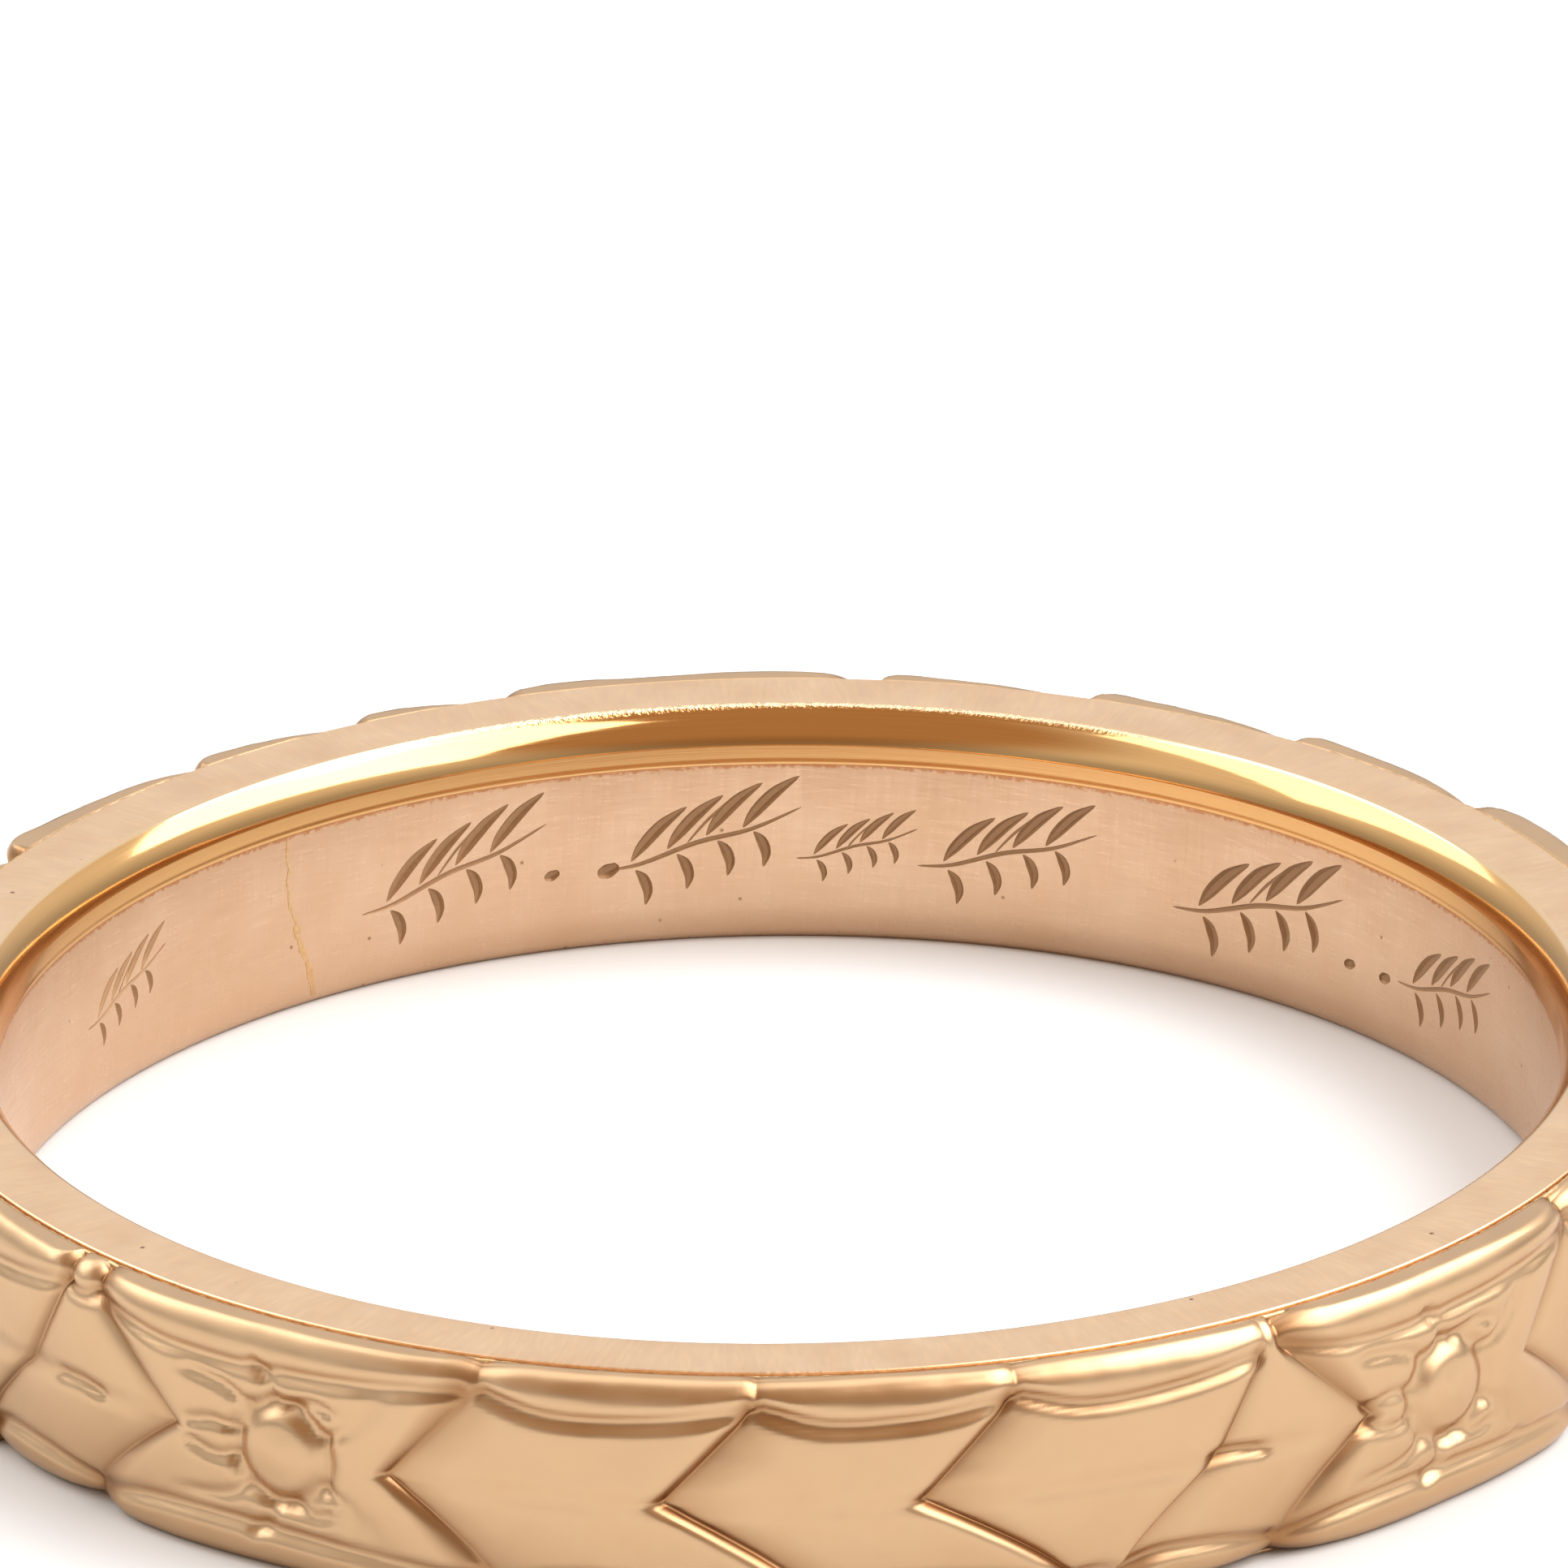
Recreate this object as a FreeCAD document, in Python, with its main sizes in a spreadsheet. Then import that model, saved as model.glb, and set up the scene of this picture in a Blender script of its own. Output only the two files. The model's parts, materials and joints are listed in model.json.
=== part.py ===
import FreeCAD
import Part
import Sketcher
import os

# A carved wedding band, lying on its side, in millimetres. The origin is the centre of the finger hole, half
# way through the band, and +Z is along the hole. Angles are in degrees about +Z, from +X.
#
# A plain gold strip is bent round and its ends are soldered: the inner band. A second strip, carved with
# blossoms and leaves, is bent round it and soldered on, and solder fills the channel along both edges.

# What a jeweller would change. Heights are measured from the middle of the band.
DIMENSIONS = {
    "finger_radius": 8.65,
    "half_width": 1.42,
    "satin_half": 0.78,  # the plain inside wall, up to the polished edge
    "ridge_height": 0.98,  # the fine ridge in the polished edge
    "ridge_depth": 0.03,
    "polish_height": 1.34,  # where the polished edge meets its small outer round
    "polish_depth": 0.10,
    "edge_depth": 0.19,  # from the finger to the start of the flat side
    "edge_round": 0.12,
    "joint_radius": 9.70,  # where the sleeve meets the inner band
    "arris": 0.07,  # the bevels that make the channel for the solder
    "solder_drop": 0.02,  # how far the solder lies below the flat side
    "land_height": 1.40,  # the sleeve's flat edge, beside its bevel
    "land_radius": 9.84,
    "shoulder_radius": 10.09,
    "shoulder_height": 1.02,
    "shoulder_round": 0.40,
    "crown_round": 7.4,  # the sleeve's curve across the band, which bulges to 10.16 at the middle
    "cut_floor": 9.92,  # the bottom of the chevron cuts between leaves
    "cut_half_width": 0.20,
    "cut_height": 1.02,
    "cut_sweep": 1.12,  # how far a cut runs round the ring on its way to the rim
    "button_radius": 0.44,  # the raised middle of a blossom
    "collar_radius": 0.56,  # the outside of the round groove about it
    "button_floor": 9.96,
    "tool_reach": 0.50,
    "band_seam_angle": 128.6,
    "sleeve_seam_angle": 187.0,
    "seam_sweep": 0.66,  # how much of the circle a seam's solder fills
}

# The carver spaced the blossoms by eye, so each has an angle of its own.
BLOSSOM_ANGLES = (21.5, 98.9, 178.0, 238.0, 315.4)

# The cuts from one blossom to the next: how far along each lies, and whether it opens onwards or back.
CHEVRONS = ((0.14, "onwards"), (0.33, "onwards"), (0.53, "onwards"), (0.905, "back"))

doc = FreeCAD.newDocument("wedding_band")


def fill_sheet():
    sheet = doc.addObject("Spreadsheet::Sheet", "dims")
    for row, (alias, value) in enumerate(DIMENSIONS.items(), start=1):
        sheet.set(f"A{row}", alias)
        sheet.set(f"B{row}", str(value))
        sheet.setAlias(f"B{row}", alias)
    doc.recompute()


def amount(terms):
    """The sum of a few cells, written as words with a plus or a minus between them."""
    total = 0.0
    sign = 1
    for word in terms.split():
        if word in ("+", "-"):
            sign = 1 if word == "+" else -1
        else:
            total += sign * DIMENSIONS[word]
    return total


def expression(terms):
    """The same sum, as the document's own expression."""
    return " ".join(word if word in ("+", "-") else f"dims.{word}" for word in terms.split())


def constrain(sketch, kind, *where, terms):
    number = sketch.addConstraint(Sketcher.Constraint(kind, *where, amount(terms)))
    if terms:
        sketch.setExpression(f"Constraints[{number}]", expression(terms))


def new_sketch(body, name, role):
    sketch = body.newObject("Sketcher::SketchObject", name)
    plane = next(item for item in body.Origin.OriginFeatures if item.Role == role)
    sketch.AttachmentSupport = [(plane, "")]
    sketch.MapMode = "FlatFace"
    return sketch


def bulge(start, end, radius):
    """The short arc from start to end, walked with its centre on the left."""
    chord = end - start
    sagitta = radius - (radius**2 - (chord.Length / 2) ** 2) ** 0.5
    outwards = FreeCAD.Vector(chord.y, -chord.x, 0).normalize()
    return Part.Arc(start, (start + end) / 2 + outwards * sagitta, end)


def outline(sketch, corners):
    """A closed outline, walked anticlockwise. Each corner is across, along, and the radius of the arc that
    leaves it, or nothing for a straight side."""
    places = [FreeCAD.Vector(amount(across), amount(along), 0) for across, along, radius in corners]
    for number, (across, along, radius) in enumerate(corners):
        start = places[number]
        end = places[(number + 1) % len(places)]
        sketch.addGeometry(bulge(start, end, amount(radius)) if radius else Part.LineSegment(start, end))
    for number, (across, along, radius) in enumerate(corners):
        sketch.addConstraint(Sketcher.Constraint("Coincident", number, 2, (number + 1) % len(corners), 1))
        constrain(sketch, "DistanceX", -1, 1, number, 1, terms=across)
        constrain(sketch, "DistanceY", -1, 1, number, 1, terms=along)
        if radius:
            constrain(sketch, "Radius", number, terms=radius)


def ring_body(label, corners, first_angle, sweep):
    """A ring of one section. It starts at first_angle, and sweep says how far round it goes."""
    body = doc.addObject("PartDesign::Body", label)
    body.Label = label
    sketch = new_sketch(body, f"{label}_section", "XZ_Plane")
    outline(sketch, corners)
    ring = body.newObject("PartDesign::Revolution", f"{label}_ring")
    ring.Profile = sketch
    ring.ReferenceAxis = (sketch, ["V_Axis"])
    ring.setExpression("Angle", sweep)
    sketch.Visibility = False
    body.Placement = FreeCAD.Placement(FreeCAD.Vector(), FreeCAD.Rotation(FreeCAD.Vector(0, 0, 1), 1))
    body.setExpression("Placement.Rotation.Angle", first_angle)
    return body


BAND_SECTION = (
    ("finger_radius", "- satin_half", ""),
    ("finger_radius + ridge_depth", "- ridge_height", ""),
    ("finger_radius + polish_depth", "- polish_height", "edge_round"),
    ("finger_radius + edge_depth", "- half_width", ""),
    ("joint_radius - arris", "- half_width", ""),
    ("joint_radius", "- half_width + arris", ""),
    ("joint_radius", "half_width - arris", ""),
    ("joint_radius - arris", "half_width", ""),
    ("finger_radius + edge_depth", "half_width", "edge_round"),
    ("finger_radius + polish_depth", "polish_height", ""),
    ("finger_radius + ridge_depth", "ridge_height", ""),
    ("finger_radius", "satin_half", ""),
)

SLEEVE_SECTION = (
    ("joint_radius", "- half_width + arris", ""),
    ("land_radius - arris", "- land_height", ""),
    ("land_radius", "- land_height", "shoulder_round"),
    ("shoulder_radius", "- shoulder_height", "crown_round"),
    ("shoulder_radius", "shoulder_height", "shoulder_round"),
    ("land_radius", "land_height", ""),
    ("land_radius - arris", "land_height", ""),
    ("joint_radius", "half_width - arris", ""),
)

UPPER_SOLDER_SECTION = (
    ("joint_radius", "half_width - arris", ""),
    ("land_radius - arris", "land_height", ""),
    ("joint_radius - arris + solder_drop", "half_width - solder_drop", ""),
)

LOWER_SOLDER_SECTION = (
    ("joint_radius", "- half_width + arris", ""),
    ("joint_radius - arris + solder_drop", "- half_width + solder_drop", ""),
    ("land_radius - arris", "- land_height", ""),
)


def cut_outwards(body, name, angle, floor, draw, turned=False):
    """Cuts from a flat floor, square to the radius at angle, out through the sleeve's face."""
    sketch = new_sketch(body, name, "YZ_Plane")
    turn = FreeCAD.Rotation(FreeCAD.Vector(0, 1, 0), angle)
    if turned:
        turn = turn * FreeCAD.Rotation(FreeCAD.Vector(0, 0, 1), 180)
    sketch.AttachmentOffset = FreeCAD.Placement(FreeCAD.Vector(), turn)
    sketch.setExpression("AttachmentOffset.Base.x", f"dims.{floor} * sin({angle})")
    sketch.setExpression("AttachmentOffset.Base.z", f"dims.{floor} * cos({angle})")
    draw(sketch)
    cut = body.newObject("PartDesign::Pocket", f"{name}_cut")
    cut.Profile = sketch
    cut.Reversed = True
    cut.setExpression("Length", "dims.tool_reach")
    sketch.Visibility = False


def draw_chevron(sketch):
    outline(
        sketch,
        (
            ("- cut_half_width", "", ""),
            ("cut_sweep", "- cut_height", ""),
            ("cut_half_width", "", ""),
            ("cut_sweep", "cut_height", ""),
        ),
    )


def draw_collar(sketch):
    for number, terms in enumerate(("button_radius", "collar_radius")):
        sketch.addGeometry(Part.Circle(FreeCAD.Vector(), FreeCAD.Vector(0, 0, 1), amount(terms)))
        sketch.addConstraint(Sketcher.Constraint("Coincident", number, 3, -1, 1))
        constrain(sketch, "Radius", number, terms=terms)


def carve(body, body_angle):
    """The blossoms' round grooves and the chevrons between leaves, all round the sleeve."""
    count = len(BLOSSOM_ANGLES)
    for number, blossom in enumerate(BLOSSOM_ANGLES):
        gap = (BLOSSOM_ANGLES[(number + 1) % count] - blossom) % 360
        cut_outwards(body, f"blossom_{number + 1}", blossom - body_angle, "button_floor", draw_collar)
        for step, (fraction, opens) in enumerate(CHEVRONS):
            name = f"chevron_{number + 1}_{step + 1}"
            angle = blossom + fraction * gap - body_angle
            cut_outwards(body, name, angle, "cut_floor", draw_chevron, turned=opens == "back")


def all_but_seam(seam):
    """Where a strip starts, just past its seam, and how far round it goes."""
    return f"dims.{seam} + dims.seam_sweep / 2", "360 - dims.seam_sweep"


def only_seam(seam):
    return f"dims.{seam} - dims.seam_sweep / 2", "dims.seam_sweep"


def build():
    inner_band = ring_body("inner_band", BAND_SECTION, *all_but_seam("band_seam_angle"))
    band_seam = ring_body("inner_band_seam_solder", BAND_SECTION, *only_seam("band_seam_angle"))
    sleeve = ring_body("carved_sleeve", SLEEVE_SECTION, *all_but_seam("sleeve_seam_angle"))
    sleeve_start = amount("sleeve_seam_angle") + amount("seam_sweep") / 2
    carve(sleeve, sleeve_start)
    sleeve_seam = ring_body("sleeve_seam_solder", SLEEVE_SECTION, *only_seam("sleeve_seam_angle"))
    upper_solder = ring_body("upper_solder_line", UPPER_SOLDER_SECTION, "0", "360")
    lower_solder = ring_body("lower_solder_line", LOWER_SOLDER_SECTION, "0", "360")
    return inner_band, band_seam, sleeve, sleeve_seam, upper_solder, lower_solder


def check_document():
    for item in doc.Objects:
        if "Invalid" in item.State or "Error" in item.State:
            raise RuntimeError(f"{item.Label} did not build: {item.State}")


def export(bodies):
    for body in bodies:
        shape = body.Shape
        if shape.isNull() or not shape.isValid() or len(shape.Solids) != 1:
            raise RuntimeError(f"{body.Label} isn't one valid solid")
        print(f"{body.Label}: {shape.Volume:.3f} cubic mm")
    os.makedirs("parts", exist_ok=True)
    for body in bodies:
        body.Shape.exportStep(f"parts/{body.Label}.step")


fill_sheet()
bodies = build()
doc.recompute()
check_document()
export(bodies)
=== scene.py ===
import json
import math
from functools import partial

import bmesh
import bpy
from mathutils import Matrix, Vector, noise
from mathutils.bvhtree import BVHTree


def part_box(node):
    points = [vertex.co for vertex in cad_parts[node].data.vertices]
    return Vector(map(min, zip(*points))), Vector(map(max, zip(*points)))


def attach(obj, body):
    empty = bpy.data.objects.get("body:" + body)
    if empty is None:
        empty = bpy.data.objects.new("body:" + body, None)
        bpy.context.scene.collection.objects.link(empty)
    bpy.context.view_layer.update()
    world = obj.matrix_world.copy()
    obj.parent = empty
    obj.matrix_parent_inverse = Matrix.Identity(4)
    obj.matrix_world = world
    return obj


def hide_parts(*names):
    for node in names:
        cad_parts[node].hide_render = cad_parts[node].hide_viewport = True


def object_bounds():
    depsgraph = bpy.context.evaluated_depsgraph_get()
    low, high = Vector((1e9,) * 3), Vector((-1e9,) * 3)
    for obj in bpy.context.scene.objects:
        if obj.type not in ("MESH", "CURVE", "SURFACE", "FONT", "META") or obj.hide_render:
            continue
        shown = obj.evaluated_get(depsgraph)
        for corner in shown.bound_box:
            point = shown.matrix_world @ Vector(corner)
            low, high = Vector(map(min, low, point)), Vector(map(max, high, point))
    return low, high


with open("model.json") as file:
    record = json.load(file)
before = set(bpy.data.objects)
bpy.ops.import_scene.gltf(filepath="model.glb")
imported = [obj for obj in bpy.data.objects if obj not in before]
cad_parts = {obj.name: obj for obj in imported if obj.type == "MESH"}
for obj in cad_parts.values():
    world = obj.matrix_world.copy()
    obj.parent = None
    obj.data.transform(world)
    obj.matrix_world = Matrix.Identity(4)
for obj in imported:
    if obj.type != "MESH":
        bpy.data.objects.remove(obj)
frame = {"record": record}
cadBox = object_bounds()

# A carved wedding band lying on its side. The finger hole runs along Z, and every piece rides on the one
# body. Sizes are in millimetres until a mesh is made, and angles go round Z from X in degrees.
mm = 0.001
mounts = {mount["name"]: mount for mount in frame["record"]["mounts"]}
fingerRadius = mounts["finger_hole"]["dims"]["r_mm"]
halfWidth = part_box("inner_band")[1].z / mm
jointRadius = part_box("inner_band")[1].x / mm


def linearColour(hexText):
    channels = [int(hexText[i:i + 2], 16) / 255 for i in (1, 3, 5)]
    return [c / 12.92 if c <= 0.04045 else ((c + 0.055) / 1.055) ** 2.4 for c in channels] + [1.0]


# Adds one node. Its inputs are given by name or number, or as a list in their order. Each is a plain value, a
# socket, or a node, which stands for its first output.
def addNode(tree, kind, inputs=(), **settings):
    node = tree.nodes.new(kind)
    for name, value in settings.items():
        setattr(node, name, value)
    for socket, value in inputs.items() if isinstance(inputs, dict) else enumerate(inputs):
        if isinstance(value, bpy.types.Node):
            value = value.outputs[0]
        if isinstance(value, bpy.types.NodeSocket):
            tree.links.new(value, node.inputs[socket])
        else:
            node.inputs[socket].default_value = value
    return node


def ringPoint(angle, radius, height):
    turn = math.radians(angle)
    return Vector((radius * math.cos(turn), radius * math.sin(turn), height)) * mm


def pieceFromMesh(name, mesh, *materials):
    mesh.name = name
    piece = bpy.data.objects.new(name, mesh)
    bpy.context.scene.collection.objects.link(piece)
    for material in materials:
        mesh.materials.append(material)
    return piece


# A smooth line through all its corners.
def smoothLine(corners, steps=6):
    line = []
    ends = [corners[0]] + list(corners) + [corners[-1]]
    for n in range(1, len(ends) - 2):
        for step in range(steps):
            t = step / steps
            line.append(tuple(
                0.5 * (2 * b + (c - a) * t + (2 * a - 5 * b + 4 * c - d) * t ** 2
                       + (3 * b - a - 3 * c + d) * t ** 3)
                for a, b, c, d in zip(ends[n - 1], ends[n], ends[n + 1], ends[n + 2])
            ))
    return line + [tuple(corners[-1])]


def giveInputs(modifier, **values):
    for item in modifier.node_group.interface.items_tree:
        if item.in_out == "INPUT" and item.name in values:
            modifier[item.identifier] = values[item.name]


# Applies the piece's modifiers: the result becomes its plain mesh, and the modifiers go. Of the values
# stored at its points, only the kept ones stay.
def applyModifiers(piece, keep=()):
    shown = bpy.context.evaluated_depsgraph_get()
    made = bpy.data.meshes.new_from_object(piece.evaluated_get(shown), preserve_all_data_layers=True,
            depsgraph=shown)
    piece.modifiers.clear()
    old = piece.data
    piece.data = made
    made.name = piece.name
    bpy.data.meshes.remove(old)
    for attribute in [a.name for a in made.attributes if a.domain == "POINT" and not a.is_required]:
        if attribute not in keep and not attribute.startswith("."):
            made.attributes.remove(made.attributes[attribute])
    return piece


def pointFacesOut(mesh):
    volume = 0.0
    mesh.calc_loop_triangles()
    for triangle in mesh.loop_triangles:
        a, b, c = (mesh.vertices[n].co for n in triangle.vertices)
        volume += a.dot(b.cross(c))
    if volume < 0:
        mesh.flip_normals()


# ---- gold ----

# Starts a gold: its material, what adds a node to it, its shader, and the place that its patterns read.
def newGold(name, metallic=1.0):
    material = bpy.data.materials.new(name)
    material.use_nodes = True
    tree = material.node_tree
    shader = next(node for node in tree.nodes if node.type == "BSDF_PRINCIPLED")
    shader.inputs["Metallic"].default_value = metallic
    add = partial(addNode, tree)
    return material, add, shader, add("ShaderNodeTexCoord").outputs["Object"]


# The colour wanders between two tones. Gives back what it wanders by, and the colour.
def mottled(add, place, look):
    blotch = add("ShaderNodeTexNoise", {"Vector": place, "Scale": 1 / (look["blotchMm"] * mm),
            "Detail": look["blotchDetail"]})
    tone = add("ShaderNodeMix", {"Factor": blotch, 6: linearColour(look["dark"]),
            7: linearColour(look["light"])}, data_type="RGBA")
    return blotch, tone.outputs[2]


# Tiny dark pits over a colour.
def pitted(add, place, tone, look):
    pits = add("ShaderNodeTexVoronoi", {"Vector": place, "Scale": 1 / (look["pitMm"] * mm)})
    mask = add("ShaderNodeMapRange", {"Value": pits.outputs["Distance"], "From Min": 0.02, "From Max": 0.06,
            "To Min": look["pitShade"], "To Max": 0.0})
    tone = add("ShaderNodeMix", {"Factor": mask, 6: tone, 7: linearColour(look["pit"])}, data_type="RGBA")
    return tone.outputs[2]


# Noise drawn out into strokes, by a stroke's size in millimetres round the band and across it.
def strokePattern(add, vector, around, across, detail):
    stretched = add("ShaderNodeMapping", {"Vector": vector, "Scale": (1 / around, 1 / across, 1)})
    return add("ShaderNodeTexNoise", {"Vector": stretched, "Scale": 1.0, "Detail": detail})


# Gives a gold its colour, its roughness, which may follow a pattern, and its reliefs. Each relief is a
# pattern, its strength and its height in millimetres, and lies over the one before it.
def finishGold(add, shader, look, tone, pattern=None, reliefs=()):
    links = shader.id_data.links
    links.new(tone, shader.inputs["Base Color"])
    if pattern is None:
        shader.inputs["Roughness"].default_value = look["roughness"]
    else:
        low, high = look.get("patternRange", (0.3, 0.7))
        smoothest, roughest = look["roughness"]
        gloss = add("ShaderNodeMapRange", {"Value": pattern, "From Min": low, "From Max": high,
                "To Min": smoothest, "To Max": roughest})
        links.new(gloss.outputs[0], shader.inputs["Roughness"])
    normal = None
    for relief, strength, height in reliefs:
        inputs = {"Height": relief, "Strength": strength, "Distance": height * mm}
        if normal is not None:
            inputs["Normal"] = normal
        normal = add("ShaderNodeBump", inputs)
        links.new(normal.outputs[0], shader.inputs["Normal"])


# Rose gold smoothed with emery: a warm satin, with fine scratches both ways and a few pits.
def satinRoseGold():
    look = {
        "dark": "#caa481",
        "light": "#d8b89b",
        "blotchMm": 1.1,
        "blotchDetail": 3,
        "scratchMm": 0.034,
        "scratchLength": 22,  # for its width
        "scratchTurns": (4, -7, 86),  # degrees from the line round the band
        "scratchHeight": 0.0019,
        "pitMm": 0.5,
        "pitShade": 0.8,
        "pit": "#7a5438",
        "stopColour": "#b5794a",
        "stopFrom": 0.735,  # the height where the burnisher stopped, in millimetres
        "stopTo": 0.77,
        "stopShade": 0.8,
        "raggedMm": 0.06,
        "raggedReach": 0.07,
        "patternRange": (1.2, 1.8),
        "roughness": (0.27, 0.42),
    }
    material, add, shader, place = newGold("satinRoseGold")
    uv = add("ShaderNodeUVMap", uv_map="bandUv")
    scratches = 0.0
    for turn in look["scratchTurns"]:
        turned = add("ShaderNodeMapping", {"Vector": uv, "Rotation": (0, 0, math.radians(turn))})
        scratch = strokePattern(add, turned, look["scratchMm"] * look["scratchLength"], look["scratchMm"], 2)
        scratches = add("ShaderNodeMath", [scratches, scratch], operation="ADD")
    tone = pitted(add, place, mottled(add, place, look)[1], look)
    # The burnisher has left a ragged, darker line where it stopped.
    height = add("ShaderNodeSeparateXYZ", {"Vector": place}).outputs["Z"]
    ragged = add("ShaderNodeTexNoise", {"Vector": place, "Scale": 1 / (look["raggedMm"] * mm), "Detail": 3})
    ragged = add("ShaderNodeMapRange", {"Value": ragged, "To Min": -look["raggedReach"] * mm,
            "To Max": look["raggedReach"] * mm})
    ragged = add("ShaderNodeMath", [height, ragged], operation="ADD")
    ragged = add("ShaderNodeMapRange", {"Value": ragged, "From Min": look["stopFrom"] * mm,
            "From Max": look["stopTo"] * mm, "To Max": look["stopShade"]})
    edged = add("ShaderNodeMix", {"Factor": ragged, 6: tone, 7: linearColour(look["stopColour"])},
            data_type="RGBA")
    finishGold(add, shader, look, edged.outputs[2], scratches, [(scratches, 0.6, look["scratchHeight"])])
    return material


# The same gold burnished to a mirror, with faint lines left by the burnisher along the edge, and a painted
# highlight of paler colour round its very edge.
def burnishedRoseGold():
    look = {
        "dark": "#d6a66b",
        "light": "#e0b27a",
        "lineMm": 0.02,
        "lineLength": 90,
        "lineHeight": 0.00025,
        # The paler colour from here up to the top is a painted highlight.
        "paintedHighlight": "#e9c8a0",
        "paintedHighlightFrom": 1.385,  # millimetres above the middle
        "top": 1.40,
        "knockedFrom": 1.36,
        "knockedSide": (7.8, 8.6),  # millimetres along Y where the knocked side begins and is fully knocked
        "grainMm": 0.045,
        "grainHeight": 0.045,
        "roughness": (0.07, 0.13),
    }
    material, add, shader, place = newGold("burnishedRoseGold")
    uv = add("ShaderNodeUVMap", uv_map="bandUv")
    lines = strokePattern(add, uv, look["lineMm"] * look["lineLength"], look["lineMm"], 3)
    # A paler colour is painted round the very edge as a painted highlight, and on one side that edge is
    # knocked and grainy.
    parts = add("ShaderNodeSeparateXYZ", {"Vector": place}).outputs
    paintedHighlight, knocked, back = [add("ShaderNodeMapRange", {"Value": parts[axis], "From Min": first * mm,
            "From Max": last * mm}) for axis, first, last in (("Z", look["paintedHighlightFrom"], look["top"]), ("Z",
            look["knockedFrom"], look["top"]), ("Y", *look["knockedSide"]))]
    grain = add("ShaderNodeTexNoise", {"Vector": place, "Scale": 1 / (look["grainMm"] * mm), "Detail": 3})
    for other in (back, grain):
        knocked = add("ShaderNodeMath", [knocked, other], operation="MULTIPLY")
    deep = add("ShaderNodeMix", {"Factor": lines, 6: linearColour(look["dark"]),
            7: linearColour(look["light"])}, data_type="RGBA")
    tone = add("ShaderNodeMix", {"Factor": paintedHighlight, 6: deep.outputs[2], 7: linearColour(look["paintedHighlight"])},
            data_type="RGBA")
    finishGold(add, shader, look, tone.outputs[2], lines, [(lines, 0.5, look["lineHeight"]), (knocked, 0.6,
            look["grainHeight"])])
    return material


# The flat sides, filed true and rubbed down: paler, with short strokes across the band.
def filedRoseGold():
    look = {
        "dark": "#dab08a",
        "light": "#eed0ac",
        "blotchMm": 0.7,
        "blotchDetail": 4,
        "strokeMm": 0.04,
        "strokeLength": 9,
        "strokeHeight": 0.0022,
        "warpMm": 2.5,  # the file didn't run straight
        "pitMm": 0.6,
        "pitShade": 1.0,
        "pit": "#7a5438",
        "roughness": (0.3, 0.42),
    }
    material, add, shader, place = newGold("filedRoseGold")
    uv = add("ShaderNodeUVMap", uv_map="bandUv")
    warp = add("ShaderNodeTexNoise", {"Vector": place, "Scale": 1 / (look["warpMm"] * mm), "Detail": 1})
    bent = add("ShaderNodeVectorMath", [uv, warp.outputs["Color"]], operation="ADD")
    strokes = strokePattern(add, bent, look["strokeMm"], look["strokeMm"] * look["strokeLength"], 3)
    tone = pitted(add, place, mottled(add, place, look)[1], look)
    finishGold(add, shader, look, tone, strokes, [(strokes, 0.6, look["strokeHeight"])])
    return material


# Yellow gold, carved and worn smooth by years of wear. Its cuts are darkened with grime and painted shade.
def carvedYellowGold():
    look = {
        "dark": "#c39f79",
        "light": "#cfae89",
        "blotchMm": 0.8,
        "blotchDetail": 4,
        "grime": "#986c45",
        "grimeAndShadeThick": -0.17,  # millimetres from the worn face where grime and painted shade lie thickest, and where they end
        "grimeAndShadeEnds": -0.02,
        "grimeAndShadeAmount": 0.85,
        "grainMm": 0.03,
        "grainHeight": 0.0008,
        "roughness": (0.28, 0.38),
    }
    material, add, shader, place = newGold("carvedYellowGold")
    depth = add("ShaderNodeAttribute", attribute_name="carveHeight")
    blotch, tone = mottled(add, place, look)
    # Grime and painted shade darken the gold where the stored height lies deep in a cut.
    grime = add("ShaderNodeMapRange", {"Value": depth.outputs["Fac"], "From Min": look["grimeAndShadeThick"],
            "From Max": look["grimeAndShadeEnds"], "To Min": look["grimeAndShadeAmount"], "To Max": 0.0})
    grimyAndShaded = add("ShaderNodeMix", {"Factor": grime, 6: tone, 7: linearColour(look["grime"])}, data_type="RGBA")
    grain = add("ShaderNodeTexNoise", {"Vector": place, "Scale": 1 / (look["grainMm"] * mm), "Detail": 3})
    finishGold(add, shader, look, grimyAndShaded.outputs[2], blotch, [(grain, 0.5, look["grainHeight"])])
    return material


# The graver's cuts inside the ring. Years of grime have dulled them to a flat taupe.
def graverCutGold():
    look = {"dark": "#8f6a49", "light": "#ad8861", "blotchMm": 0.06, "blotchDetail": 4,
            "roughness": (0.42, 0.6)}
    material, add, shader, place = newGold("graverCutGold", metallic=0.4)
    speck, tone = mottled(add, place, look)
    finishGold(add, shader, look, tone, speck)
    return material


# Hard solder that ran and froze: grainy, with tiny holes, and a little yellower than the bands.
def grainySolder():
    look = {"dark": "#b98c5c", "light": "#e6c496", "blotchMm": 0.05, "blotchDetail": 4, "holeMm": 0.07,
            "holeDepth": 0.004, "roughness": 0.4}
    material, add, shader, place = newGold("grainySolder")
    holes = add("ShaderNodeTexVoronoi", {"Vector": place, "Scale": 1 / (look["holeMm"] * mm)})
    finishGold(add, shader, look, mottled(add, place, look)[1], None, [(holes.outputs["Distance"], 0.7,
            look["holeDepth"])])
    return material


satinGold = satinRoseGold()
burnishedGold = burnishedRoseGold()
filedGold = filedRoseGold()
carvedGold = carvedYellowGold()
cutGold = graverCutGold()
solderGold = grainySolder()
bandGolds = (satinGold, burnishedGold, filedGold, cutGold)
print("gold mixed")


# ---- inner band ----

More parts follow.
